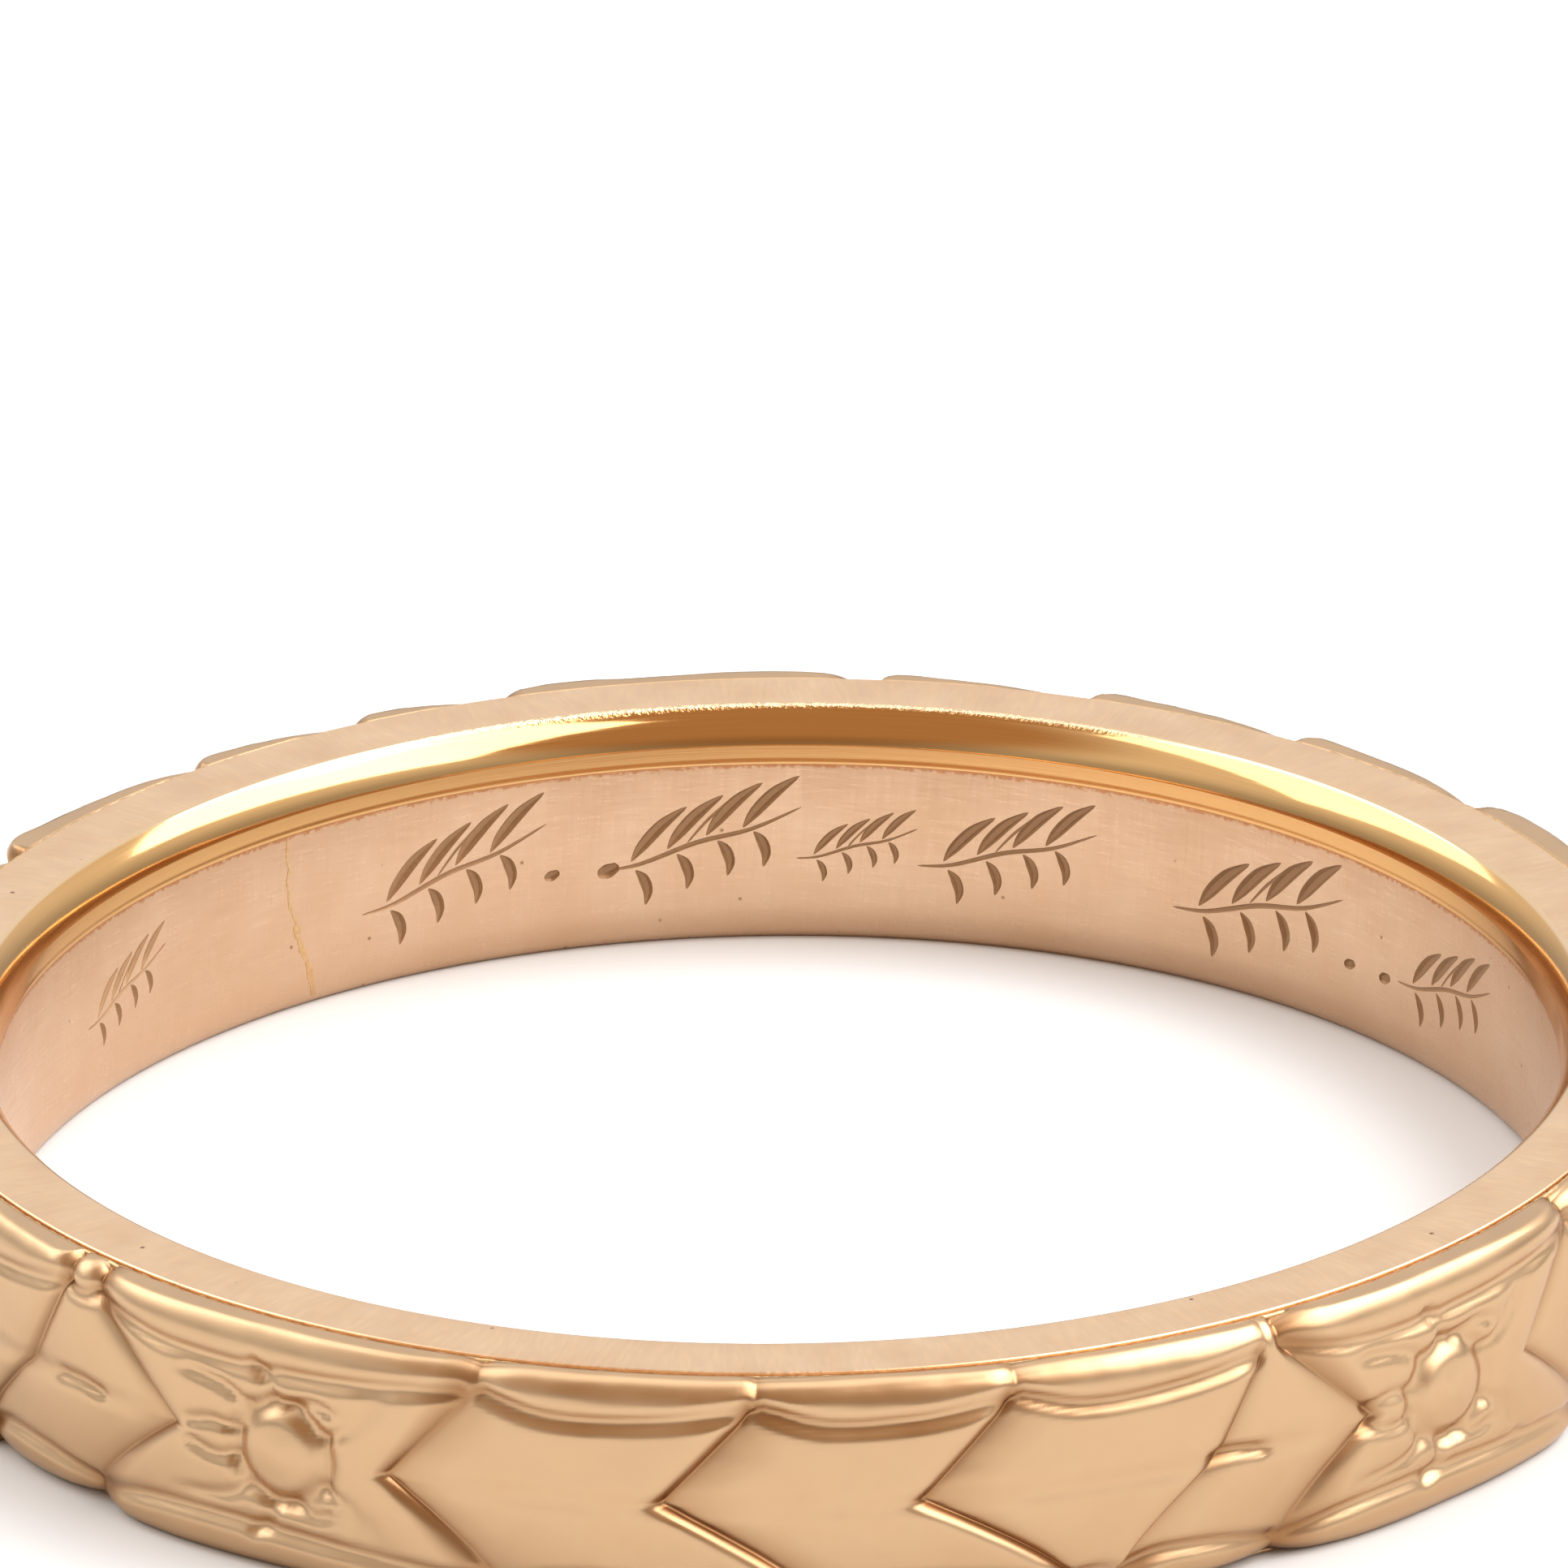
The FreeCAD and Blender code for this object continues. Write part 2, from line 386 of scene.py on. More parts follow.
innerBand = {
    "columns": 720,
    "satinHeight": 0.79,  # the plain wall, up to the burnished edge
    "ridgeHeight": 1.0,
    "ridgeDepth": 0.03,
    "stepHeight": 0.008,  # the small step where the burnisher bit in, and the same at the ridge
    "stepDepth": 0.004,
    "ridgeRound": 0.014,  # height over which the ridge turns into the burnished edge
    "firstLean": 12,  # degrees that the burnished edge leans out above the ridge, and at its top
    "lastLean": 50,
    "burnishHeight": 1.40,
    "easedDepth": 0.19,
    "lowerRound": 0.50,  # the other edge is only eased, and left satin
    "arris": 0.012,
}


# The band's section, from the lower edge up the finger wall, over the upper side and down the joint. Each
# point is radius, height and which gold the strip after it has: 0 satin, 1 burnished, 2 filed.
def innerBandSection():
    b = innerBand
    points = []
    easedSteps = 12
    for step in range(easedSteps + 1):
        turn = (1 - step / easedSteps) * math.pi / 2
        points.append((fingerRadius + b["easedDepth"] * (1 - math.cos(turn)),
                b["lowerRound"] - halfWidth - b["lowerRound"] * math.sin(turn), 0))
    points.append((fingerRadius, b["satinHeight"], 1))
    coveSteps = 6
    for step in range(1, coveSteps + 1):
        t = step / coveSteps
        climb = b["ridgeHeight"] - b["satinHeight"] - b["stepHeight"]
        height = b["satinHeight"] + b["stepHeight"] + t * climb
        points.append((fingerRadius + b["stepDepth"] + (b["ridgeDepth"] - b["stepDepth"]) * t, height, 1))
    points.append((fingerRadius + b["ridgeDepth"] + b["stepDepth"] / 4, b["ridgeHeight"] + b["stepHeight"],
            1))
    firstLean, lastLean = math.radians(b["firstLean"]), math.radians(b["lastLean"])
    depth, height = b["ridgeDepth"] + b["stepDepth"], b["ridgeHeight"] + b["ridgeRound"]
    sweep = (b["burnishHeight"] - height) / (math.sin(lastLean) - math.sin(firstLean))
    curveSteps = 16
    for step in range(1, curveSteps + 1):
        lean = firstLean + (lastLean - firstLean) * step / curveSteps
        points.append((fingerRadius + depth + sweep * (math.cos(firstLean) - math.cos(lean)),
                height + sweep * (math.sin(lean) - math.sin(firstLean)), 1))
    depth += sweep * (math.cos(firstLean) - math.cos(lastLean))
    corner = (halfWidth - b["burnishHeight"]) / (1 - math.sin(lastLean))
    cornerSteps = 5
    for step in range(1, cornerSteps + 1):
        lean = lastLean + (math.pi / 2 - lastLean) * step / cornerSteps
        points.append((fingerRadius + depth + corner * (math.cos(lastLean) - math.cos(lean)),
                b["burnishHeight"] + corner * (math.sin(lean) - math.sin(lastLean)),
                1 if step < cornerSteps - 1 else 2))
    reach = points[-1][0]
    outer = jointRadius - b["arris"]
    flatSteps = 4
    for step in range(1, flatSteps + 1):
        points.append((reach + (outer - reach) * step / flatSteps, halfWidth, 2))
    points.append((jointRadius, halfWidth - b["arris"], 2))
    points.append((jointRadius, b["arris"] - halfWidth, 2))
    eased = fingerRadius + b["easedDepth"]
    for step in range(flatSteps, 0, -1):
        points.append((eased + (outer - eased) * step / flatSteps, -halfWidth, 2))
    return points


# Carries a section round the ring. Its map runs round the ring and along the section, in millimetres.
def sweptRing(name, section, columns, materials):
    rows = len(section)
    points = []
    for column in range(columns):
        for radius, height, _ in section:
            points.append(ringPoint(360 * column / columns, radius, height))
    along = [0.0]
    for number in range(rows):
        here = Vector(section[number][:2])
        there = Vector(section[(number + 1) % rows][:2])
        along.append(along[-1] + (there - here).length)
    faces, golds, uvs = [], [], []
    width = 2 * math.pi * fingerRadius / columns
    for column in range(columns):
        following = (column + 1) % columns
        for row in range(rows):
            up = (row + 1) % rows
            faces.append((column * rows + row, column * rows + up, following * rows + up,
                    following * rows + row))
            golds.append(section[row][2])
            left, right = column * width, (column + 1) * width
            uvs += [left, along[row], left, along[row + 1], right, along[row + 1], right, along[row]]
    mesh = bpy.data.meshes.new(name)
    mesh.from_pydata(points, [], faces)
    mesh.uv_layers.new(name="bandUv").data.foreach_set("uv", uvs)
    for material in materials:
        mesh.materials.append(material)
    mesh.polygons.foreach_set("material_index", golds)
    mesh.polygons.foreach_set("use_smooth", [True] * len(faces))
    mesh.update()
    return mesh


bandMesh = sweptRing("innerBand", innerBandSection(), innerBand["columns"], bandGolds)
bandPiece = pieceFromMesh("innerBand", bandMesh)
print("inner band bent round:", len(bandMesh.polygons), "faces")


# ---- engraving inside the band ----

engraving = {
    "bow": 0.34,  # depth of a cut for its width
    "rimDepth": 0.004,  # depth at a cut's very edge
    "standOff": 0.03,  # how far a cutter reaches out of the metal, so that it cuts clean through the surface
    "hairline": 0.022,  # the narrowest cut
    "keel": 0.22,  # half the width of a cut's blunt bottom, for its width
    "endTaper": 0.35,  # how wide and deep a cut is at its ends, for the width drawn there
    "lean": 0.45,  # how far the ornament leans, for its height
    "crispDegrees": 28,  # an edge that turns more than this is left sharp
}

# Ornament cut with a square graver. Each stroke is a line of points, in millimetres along the wall and up
# it, with the width of the cut at each point.
graverStrokes = {
    "stem": ((-1.00, -0.30, 0.02), (-0.60, -0.26, 0.05), (-0.05, -0.04, 0.06), (0.50, 0.10, 0.05),
             (0.95, 0.36, 0.02)),
    "upperLeaf": ((0.0, 0.04, 0.02), (0.05, 0.22, 0.13), (0.17, 0.46, 0.14), (0.36, 0.66, 0.03)),
    "lowerLeaf": ((0.0, -0.05, 0.02), (0.14, -0.16, 0.12), (0.26, -0.32, 0.11), (0.30, -0.48, 0.02)),
    "hair": ((0.0, 0.02, 0.02), (0.12, 0.30, 0.035), (0.32, 0.60, 0.02)),
    "dot": ((-0.07, -0.02, 0.06), (0.0, 0.0, 0.13), (0.08, 0.04, 0.07)),
}

# A sprig is a stem with leaves on both sides of it. Each entry is the stroke, and where it starts.
sprig = (
    ("stem", 0.0, 0.0), ("upperLeaf", -0.72, -0.26), ("upperLeaf", -0.36, -0.14), ("hair", -0.16, -0.06),
    ("upperLeaf", 0.02, 0.0), ("upperLeaf", 0.40, 0.08), ("lowerLeaf", -0.62, -0.28),
    ("lowerLeaf", -0.22, -0.12), ("lowerLeaf", 0.18, 0.02), ("lowerLeaf", 0.54, 0.12),
)
dot = (("dot", 0.0, 0.0),)

# The row along the wall: sprig or dot, its angle round the band, its height up the wall, and its size.
engravedRow = (
    (sprig, 148.4, -0.16, 0.72), (sprig, 115.4, -0.14, 1.04), (dot, 107.4, -0.42, 1.0),
    (dot, 103.0, -0.44, 1.4), (sprig, 95.6, -0.12, 1.02), (sprig, 83.8, -0.20, 0.62),
    (sprig, 72.0, -0.14, 0.96), (sprig, 50.2, -0.16, 1.10), (dot, 41.4, -0.52, 1.0),
    (dot, 37.4, -0.50, 1.1), (sprig, 29.0, -0.18, 0.90),
)


# Draws a stroke's middle line closely, leaning it as it goes, and puts it on the wall.
def strokeOnWall(stroke, start, angle, height, size):
    e = engraving
    placed = []
    for along, up, width in smoothLine(graverStrokes[stroke], steps=5):
        rise = (up + start[1]) * size
        run = (along + start[0]) * size + e["lean"] * rise
        placed.append((angle - math.degrees(run / fingerRadius), height + rise, max(width * size,
                e["hairline"])))
    return placed


# A cutter for one stroke: wide above the surface, narrowing to a blunt keel in the metal.
def strokeCutter(stroke):
    e = engraving
    points, faces = [], []
    for number, (angle, height, width) in enumerate(stroke):
        before = stroke[max(number - 1, 0)]
        after = stroke[min(number + 1, len(stroke) - 1)]
        run = Vector((math.radians(after[0] - before[0]) * fingerRadius, after[1] - before[1])).normalized()
        side = Vector((-run.y, run.x))
        taper = e["endTaper"] if number in (0, len(stroke) - 1) else 1.0
        depth = e["bow"] * width * taper
        for reach, sink in ((-0.5, -e["standOff"]), (-0.5, e["rimDepth"]), (-e["keel"], depth),
                            (e["keel"], depth), (0.5, e["rimDepth"]), (0.5, -e["standOff"])):
            shift = side * reach * width * taper
            points.append(ringPoint(angle + math.degrees(shift.x / fingerRadius), fingerRadius + sink,
                    height + shift.y))
    sides = 6
    for number in range(len(stroke) - 1):
        for side in range(sides):
            following = (side + 1) % sides
            faces.append((number * sides + side, number * sides + following, (number + 1) * sides + following,
                    (number + 1) * sides + side))
    faces.append(tuple(reversed(range(sides))))
    faces.append(tuple((len(stroke) - 1) * sides + side for side in range(sides)))
    return points, faces


def engravingCutter():
    points, faces = [], []
    for motif, angle, height, size in engravedRow:
        for stroke, along, up in motif:
            strokePoints, strokeFaces = strokeCutter(strokeOnWall(stroke, (along, up), angle, height, size))
            faces += [tuple(len(points) + corner for corner in face) for face in strokeFaces]
            points += strokePoints
    mesh = bpy.data.meshes.new("graverCuts")
    mesh.from_pydata(points, [], faces)
    mesh.materials.append(cutGold)
    shell = bmesh.new()
    shell.from_mesh(mesh)
    bmesh.ops.recalc_face_normals(shell, faces=shell.faces)
    shell.to_mesh(mesh)
    shell.free()
    cutter = bpy.data.objects.new("graverCuts", mesh)
    bpy.context.scene.collection.objects.link(cutter)
    return cutter


def engraveBand():
    cutter = engravingCutter()
    cut = bandPiece.modifiers.new("engraving", "BOOLEAN")
    cut.operation = "DIFFERENCE"
    cut.solver = "EXACT"
    cut.use_self = True
    cut.material_mode = "TRANSFER"
    cut.object = cutter
    applyModifiers(bandPiece)
    bpy.data.objects.remove(cutter)
    crispEdges(bandPiece.data, engraving["crispDegrees"])


# Leaves an edge sharp where two golds meet in a cut or the surface turns quickly.
def crispEdges(mesh, degrees):
    shell = bmesh.new()
    shell.from_mesh(mesh)
    limit = math.radians(degrees)
    for edge in shell.edges:
        if len(edge.link_faces) == 2:
            meeting = {face.material_index for face in edge.link_faces}
            graven = len(meeting) == 2 and bandGolds.index(cutGold) in meeting
            edge.smooth = not graven and edge.calc_face_angle(0.0) < limit
    shell.to_mesh(mesh)
    shell.free()


engraveBand()
print("engraving cut:", len(bandPiece.data.polygons), "faces")


# ---- carved sleeve ----

carving = {
    "blossomAngles": (21.5, 98.9, 178.0, 238.0, 315.4),  # spaced by the carver's eye
    "flatRadius": 10.0,  # the cylinder that distances between cuts are measured on
    "crownRadius": 10.075,
    "shoulderRadius": 10.05,
    "shoulderHeight": 1.06,
    "sideRadius": 9.79,
    "sideHeight": 1.40,
    "crest": 0.12,  # how far a leaf's tip stands up
    "floor": 0.16,  # how far the cut beside it goes down
    "tipLength": 4.2,  # degrees over which the tip rises
    "wallLength": 0.65,  # degrees that the steep side of a cut takes up
    "baseLength": 3.0,  # degrees over which the next leaf climbs out of the cut
    "sweepReach": 1.12,  # how far across the face a cut has stopped running on
    "upperSweep": 5.9,  # degrees that a cut runs on from the middle to the upper rim
    "lowerSweep": 9.6,
    "sweepBow": 1.3,
    "blossomReach": 4.0,  # degrees each side of a blossom's middle that nothing slants in
    "scallopDip": 0.16,  # how far a wide scallop dips into the face
    "scallopWidth": 14,  # degrees that make a scallop a wide one
    "scallopLeast": 2,  # a narrower one is left out
    "scallopDepth": 0.075,
    "scallopReach": 0.16,
    "petalDepth": 0.06,
    "petalReach": 0.14,
    "collarDepth": 0.10,
    "collarReach": 0.20,
    "collarAlong": 3.25,  # half the collar's size: degrees round the ring, and millimetres across it
    "collarAcross": 0.56,
    "buttonRise": 0.07,
    "buttonReach": 0.55,
    "midribDepth": 0.02,
    "midribReach": 0.2,
    "leafFrom": 1.3,  # how far from a blossom's middle a midrib starts, and is fully cut
    "leafTo": 2.2,
    "faceRelief": 0.75,  # the face is worn lower than the rims
    "rimFrom": 1.0,  # how far across the face gives way to the rim
    "rimTo": 1.2,
    "rimWorn": (240, 306),  # degrees between which the rim is worn smooth
    "rimWornBlend": 8,
    "rimWear": 0.7,
    "swell": 0.06,  # how much thicker the sleeve is at two sides than at the two between them
    "unevenness": 0.018,
    "unevenMm": 0.9,
    "grime": 0.11,
    "grimeAndShadeMiddle": 0.35,  # degrees from the bottom of a cut to where the grime and painted shade are thickest
    "grimeAndShadeSpread": 0.7,
    "columnSteps": ((0.9, 0.12), (2.0, 0.22), (360, 0.4)),  # degrees from a cut, and between columns there
    "crownRows": 22,
    "shoulderRows": 11,
    "lip": 0.05,  # the small turn at the joint
}

# The cuts between one leaf and the next, as hand cut: the angle where each crosses the middle of the face,
# how much of the upper and of the lower sweep it takes, which side is steep (1 the side before it, -1 the
# side after it), and how deep it goes. The one of no depth only straightens the lines there.
leafCuts = (
    (6.0, 0.0, 0.0, 1, 0.0), (14.6, -1.0, -0.75, -1, 0.9),
    (30.6, 1.0, 0.8, 1, 1.1), (47.0, 1.0, 1.0, 1, 0.8), (62.8, 1.0, 1.0, 1, 1.0),
    (79.6, 0.6, -0.7, 1, 0.6), (90.8, -1.15, -0.75, -1, 1.0),
    (105.6, 0.55, 0.7, 1, 0.9), (113.6, 1.0, 1.0, 1, 0.85), (126.6, 0.9, 1.0, 1, 0.65),
    (144.6, 1.0, 1.0, 1, 1.3), (159.6, 0.6, -0.6, 1, 0.6), (171.2, -1.2, -0.75, -1, 0.9),
    (184.8, 0.9, 0.75, 1, 0.9), (199.4, 1.0, 1.0, 1, 1.0), (216.6, 0.6, -0.6, 1, 0.7),
    (229.8, -1.2, -0.75, -1, 0.9),
    (245.2, 1.0, 0.75, 1, 0.8), (262.6, 1.0, 1.0, 1, 0.9), (278.6, 1.0, 1.0, 1, 0.9),
    (297.6, 0.6, -0.7, 1, 0.6), (309.2, -1.2, -0.75, -1, 0.8),
    (323.0, 0.9, 0.75, 1, 0.9), (338.0, 1.0, 1.0, 1, 1.0), (353.6, 0.6, -0.6, 1, 0.6),
)


# How much a line that crosses the middle at this angle slants, on the upper and on the lower half.
def slantAt(angle):
    reach = carving["blossomReach"]
    stops = [(cut[0], cut[1], cut[2]) for cut in leafCuts]
    for blossom in carving["blossomAngles"]:
        stops += [(blossom - reach, 0.0, 0.0), (blossom + reach, 0.0, 0.0)]
    stops.sort()
    stops = [(stops[-1][0] - 360, *stops[-1][1:])] + stops + [(stops[0][0] + 360, *stops[0][1:])]
    for before, after in zip(stops, stops[1:]):
        if before[0] <= angle <= after[0]:
            t = (angle - before[0]) / (after[0] - before[0])
            return [before[n] + (after[n] - before[n]) * t for n in (1, 2)]


# How far the leaves stand up, or the cuts beside them go down, at an angle.
def riseAt(angle):
    c = carving
    total = 0.0
    for place, _, _, steep, depth in leafCuts:
        past = ((angle - place + 180) % 360 - 180) * steep
        if past < 0:
            tip = c["crest"] * math.exp(past / c["tipLength"])
            total += depth * (tip - (c["crest"] + c["floor"]) * math.exp(past / c["wallLength"]))
        else:
            total -= depth * c["floor"] * math.exp(-past / c["baseLength"])
    return total


# How much grime and painted shade lie on a cut's steep side: most of it just above the bottom.
def grimeAndShadeAt(angle):
    c = carving
    gathered = 0.0
    for place, _, _, steep, depth in leafCuts:
        past = ((angle - place + 180) % 360 - 180) * steep
        gathered = max(gathered, depth * math.exp(-((past + c["grimeAndShadeMiddle"]) / c["grimeAndShadeSpread"]) ** 2))
    return c["grime"] * gathered


# The rim is worn smooth on one side of the ring, and still stands in lumps on the other.
def rimReliefAt(angle):
    first, last = carving["rimWorn"]
    blend = carving["rimWornBlend"]
    worn = max(0.0, min(1.0, (angle - first) / blend, (last - angle) / blend))
    return 1.0 - carving["rimWear"] * worn


# Columns lie close beside each cut, where the surface turns quickly, and further apart on the leaves.
def columnAngles():
    angles = []
    angle = 0.0
    while angle < 359.95:
        angles.append(angle)
        near = min(abs((angle - cut[0] + 180) % 360 - 180) for cut in leafCuts)
        angle += next(step for reach, step in carving["columnSteps"] if near < reach)
    return angles


def addFloats(mesh, **columns):
    for name, values in columns.items():
        mesh.attributes.new(name, "FLOAT", "POINT").data.foreach_set("value", values)


def hiddenShape(name, points, edges, **columns):
    mesh = bpy.data.meshes.new(name)
    mesh.from_pydata([Vector(point) for point in points], edges, [])
    addFloats(mesh, **columns)
    shape = bpy.data.objects.new(name, mesh)
    bpy.context.scene.collection.objects.link(shape)
    return shape


def closedLoop(count):
    return [(number, (number + 1) % count) for number in range(count)]


def sleeveRail():
    angles = columnAngles()
    upper, lower = zip(*[slantAt(angle) for angle in angles])
    points = [ringPoint(angle, carving["flatRadius"], 0) for angle in angles]
    return hiddenShape("sleeveRail", points, closedLoop(len(points)), railAngle=angles, upperSlant=upper,
            lowerSlant=lower, rise=[riseAt(angle) for angle in angles],
            grime=[grimeAndShadeAt(angle) for angle in angles], rimRelief=[rimReliefAt(angle) for angle in angles])


# The sleeve's plain section, before it is carved. Each point knows how far it is across the face, which
# way it faces, and how much of the carving reaches it.
def sleeveSection():
    c = carving
    rows = []
    for row in range(c["crownRows"] + 1):
        height = c["shoulderHeight"] * row / c["crownRows"]
        drop = (c["crownRadius"] - c["shoulderRadius"]) * (height / c["shoulderHeight"]) ** 2
        radius = c["crownRadius"] - drop
        rows.append((radius, height, height, 1.0, 0.0, 1.0))
    rise, run = c["sideHeight"] - c["shoulderHeight"], c["shoulderRadius"] - c["sideRadius"]
    across = c["shoulderHeight"]
    quarterLength = 1.11  # of a quarter turn, for its chord
    for row in range(1, c["shoulderRows"] + 1):
        turn = row / c["shoulderRows"] * math.pi / 2
        facing = Vector((math.cos(turn) / run, math.sin(turn) / rise)).normalized()
        across += math.hypot(rise, run) * quarterLength / c["shoulderRows"]
        rows.append((c["sideRadius"] + run * math.cos(turn), c["shoulderHeight"] + rise * math.sin(turn),
                across, facing.x, facing.y, 1.0))
    rows.append((jointRadius + c["lip"], c["sideHeight"], across + c["lip"], 0.0, 1.0, 0.3))
    rows.append((jointRadius, c["sideHeight"] - c["lip"], across + 2 * c["lip"], 0.0, 1.0, 0.0))
    lower = [(r, -z, -s, x, -y, k) for r, z, s, x, y, k in reversed(rows[1:])]
    rows = lower + rows
    radii, heights, acrosses, outs, ups, carves = zip(*rows)
    points = [(radius * mm, height * mm, 0) for radius, height in zip(radii, heights)]
    return hiddenShape("sleeveSection", points, closedLoop(len(points)), outwards=radii, height=heights,
            across=acrosses, faceOut=outs, faceUp=ups, carve=carves)


# Lines drawn flat: degrees round the ring along X, and millimetres across the face along Y.
def flatLines(name, lines):
    points, edges = [], []
    for line in lines:
        first = len(points)
        points += [(offset, across, 0) for offset, across in line]
        edges += [(first + n, first + n + 1) for n in range(len(line) - 1)]
    return hiddenShape(name, points, edges)


# The scalloped edge of each rim: one dip between each cut and the next, where they reach the rim.
def scallopLines():
    c = carving
    lines = []
    for side, column, sweep in ((1, 1, c["upperSweep"]), (-1, 2, c["lowerSweep"])):
        places = sorted(cut[0] + cut[column] * sweep for cut in leafCuts if cut[4])
        for start, end in zip(places, places[1:] + [places[0] + 360]):
            width = end - start
            if width < c["scallopLeast"]:
                continue
            dip = c["scallopDip"] * min(1.0, width / c["scallopWidth"])
            lines.append(smoothLine(((start + 0.03 * width, side * 1.10), (start + 0.25 * width,
                    side * (1.08 - dip)), (start + 0.6 * width, side * (1.07 - 0.8 * dip)),
                    (end - 0.04 * width, side * 1.09))))
    return lines


# The collar round a blossom, and the petals and short cuts beside it, drawn from the blossom's middle.
def collarLines():
    steps = 24
    turns = [2 * math.pi * step / steps for step in range(steps + 1)]
    return [[(carving["collarAlong"] * math.cos(turn),
            carving["collarAcross"] * math.sin(turn)) for turn in turns]]


def petalLines():
    lines = [smoothLine(((-18.2, 0.03), (-16.4, 0.05), (-14.6, 0.0)))]
    for side in (1, -1):
        lines.append(smoothLine(((-2.6, 0.50 * side), (-4.4, 0.66 * side), (-7.0, 0.72 * side))))
        lines.append(smoothLine(((-0.6, 0.62 * side), (-1.0, 0.80 * side), (-2.0, 1.00 * side))))
        lines.append(smoothLine(((0.6, 0.58 * side), (2.2, 0.66 * side), (3.4, 0.60 * side))))
        lines.append(smoothLine(((3.2, 0.30 * side), (4.6, 0.46 * side), (6.6, 0.86 * side))))
        lines.append(smoothLine(((-3.6, 0.16 * side), (-5.0, 0.20 * side), (-6.6, 0.12 * side))))
    return lines


def sleeveTree():
    c = carving
    tree = bpy.data.node_groups.new("carvedSleeveTree", "GeometryNodeTree")
    add = partial(addNode, tree)
    for name, kind, value in (
        ("Geometry", "Geometry", None), ("Section", "Object", None), ("Blossoms", "Object", None),
        ("Scallops", "Object", None), ("Petals", "Object", None), ("Collars", "Object", None),
        ("Scallop depth", "Float", c["scallopDepth"]), ("Petal depth", "Float", c["petalDepth"]),
        ("Collar depth", "Float", c["collarDepth"]), ("Button rise", "Float", c["buttonRise"]),
        ("Unevenness", "Float", c["unevenness"]), ("Gold", "Material", None),
    ):
        socket = tree.interface.new_socket(name, in_out="INPUT", socket_type="NodeSocket" + kind)
        if value is not None:
            socket.default_value = value
    tree.interface.new_socket("Geometry", in_out="OUTPUT", socket_type="NodeSocketGeometry")
    given = add("NodeGroupInput").outputs

    named = {}
    for name in ("railAngle", "upperSlant", "lowerSlant", "rise", "grime", "rimRelief", "outwards", "height",
                 "across", "faceOut", "faceUp", "carve"):
        named[name] = add("GeometryNodeInputNamedAttribute", {"Name": name}, data_type="FLOAT").outputs[0]

    # Wraps a place given as an angle in degrees and a distance across the face round the measuring cylinder.
    def wrapped(angle, across):
        turn = add("ShaderNodeMath", [angle], operation="RADIANS")
        cosine = add("ShaderNodeMath", [turn], operation="COSINE")
        sine = add("ShaderNodeMath", [turn], operation="SINE")
        x = add("ShaderNodeMath", [cosine, c["flatRadius"]], operation="MULTIPLY")
        y = add("ShaderNodeMath", [sine, c["flatRadius"]], operation="MULTIPLY")
        return add("ShaderNodeCombineXYZ", [x, y, across]), cosine, sine

    rail = add("GeometryNodeMeshToCurve", {"Mesh": given["Geometry"]})
    outline = add("GeometryNodeObjectInfo", {"Object": given["Section"]}).outputs["Geometry"]
    outline = add("GeometryNodeMeshToCurve", {"Mesh": outline})
    swept = add("GeometryNodeCurveToMesh", {"Curve": rail, "Profile Curve": outline})

    # How far a slanting column has run on: straight on the upper half, and bowed on the lower one.
    distance = add("ShaderNodeMath", [named["across"]], operation="ABSOLUTE")
    reach = add("ShaderNodeMath", [distance, c["sweepReach"]], operation="DIVIDE")
    reach = add("ShaderNodeMath", [reach, 1.0], operation="MINIMUM")
    upperRun = add("ShaderNodeMath", [reach, named["upperSlant"]], operation="MULTIPLY")
    upperRun = add("ShaderNodeMath", [upperRun, c["upperSweep"]], operation="MULTIPLY")
    bowed = add("ShaderNodeMath", [1.0, reach], operation="SUBTRACT")
    bowed = add("ShaderNodeMath", [bowed, c["sweepBow"]], operation="POWER")
    bowed = add("ShaderNodeMath", [1.0, bowed], operation="SUBTRACT")
    lowerRun = add("ShaderNodeMath", [bowed, named["lowerSlant"]], operation="MULTIPLY")
    lowerRun = add("ShaderNodeMath", [lowerRun, c["lowerSweep"]], operation="MULTIPLY")
    upperHalf = add("ShaderNodeMath", [named["across"], 0.0], operation="GREATER_THAN")
    runOn = add("ShaderNodeMix", {"Factor": upperHalf, "A": lowerRun, "B": upperRun}, data_type="FLOAT")
    angle = add("ShaderNodeMath", [named["railAngle"], runOn], operation="ADD")
    flatPlace, cosine, sine = wrapped(angle, named["across"])

    # The blossoms' lines are drawn once and set out at each blossom. The scallops go all the way round.
    places = add("GeometryNodeObjectInfo", {"Object": given["Blossoms"]}).outputs["Geometry"]
    position = add("ShaderNodeSeparateXYZ", {"Vector": add("GeometryNodeInputPosition")})
    linePlace = wrapped(position.outputs["X"], position.outputs["Y"])[0]

    def distanceTo(lines, element="EDGES"):
        bent = add("GeometryNodeSetPosition", {"Geometry": lines, "Position": linePlace})
        near = add("GeometryNodeProximity", {0: bent, "Sample Position": flatPlace}, target_element=element)
        return near.outputs["Distance"]

    grooves = []
    for linesName, depthName, grooveReach, everyBlossom in (
        ("Scallops", "Scallop depth", c["scallopReach"], False),
        ("Petals", "Petal depth", c["petalReach"], True),
        ("Collars", "Collar depth", c["collarReach"], True),
    ):
        lines = add("GeometryNodeObjectInfo", {"Object": given[linesName]}).outputs["Geometry"]
        if everyBlossom:
            lines = add("GeometryNodeInstanceOnPoints", {"Points": places, "Instance": lines})
            lines = add("GeometryNodeRealizeInstances", {"Geometry": lines})
        groove = add("ShaderNodeMapRange", {"Value": distanceTo(lines), "From Max": grooveReach,
                "To Min": 1.0, "To Max": 0.0}, interpolation_type="SMOOTHSTEP")
        grooves.append(add("ShaderNodeMath", [groove, given[depthName]], operation="MULTIPLY"))

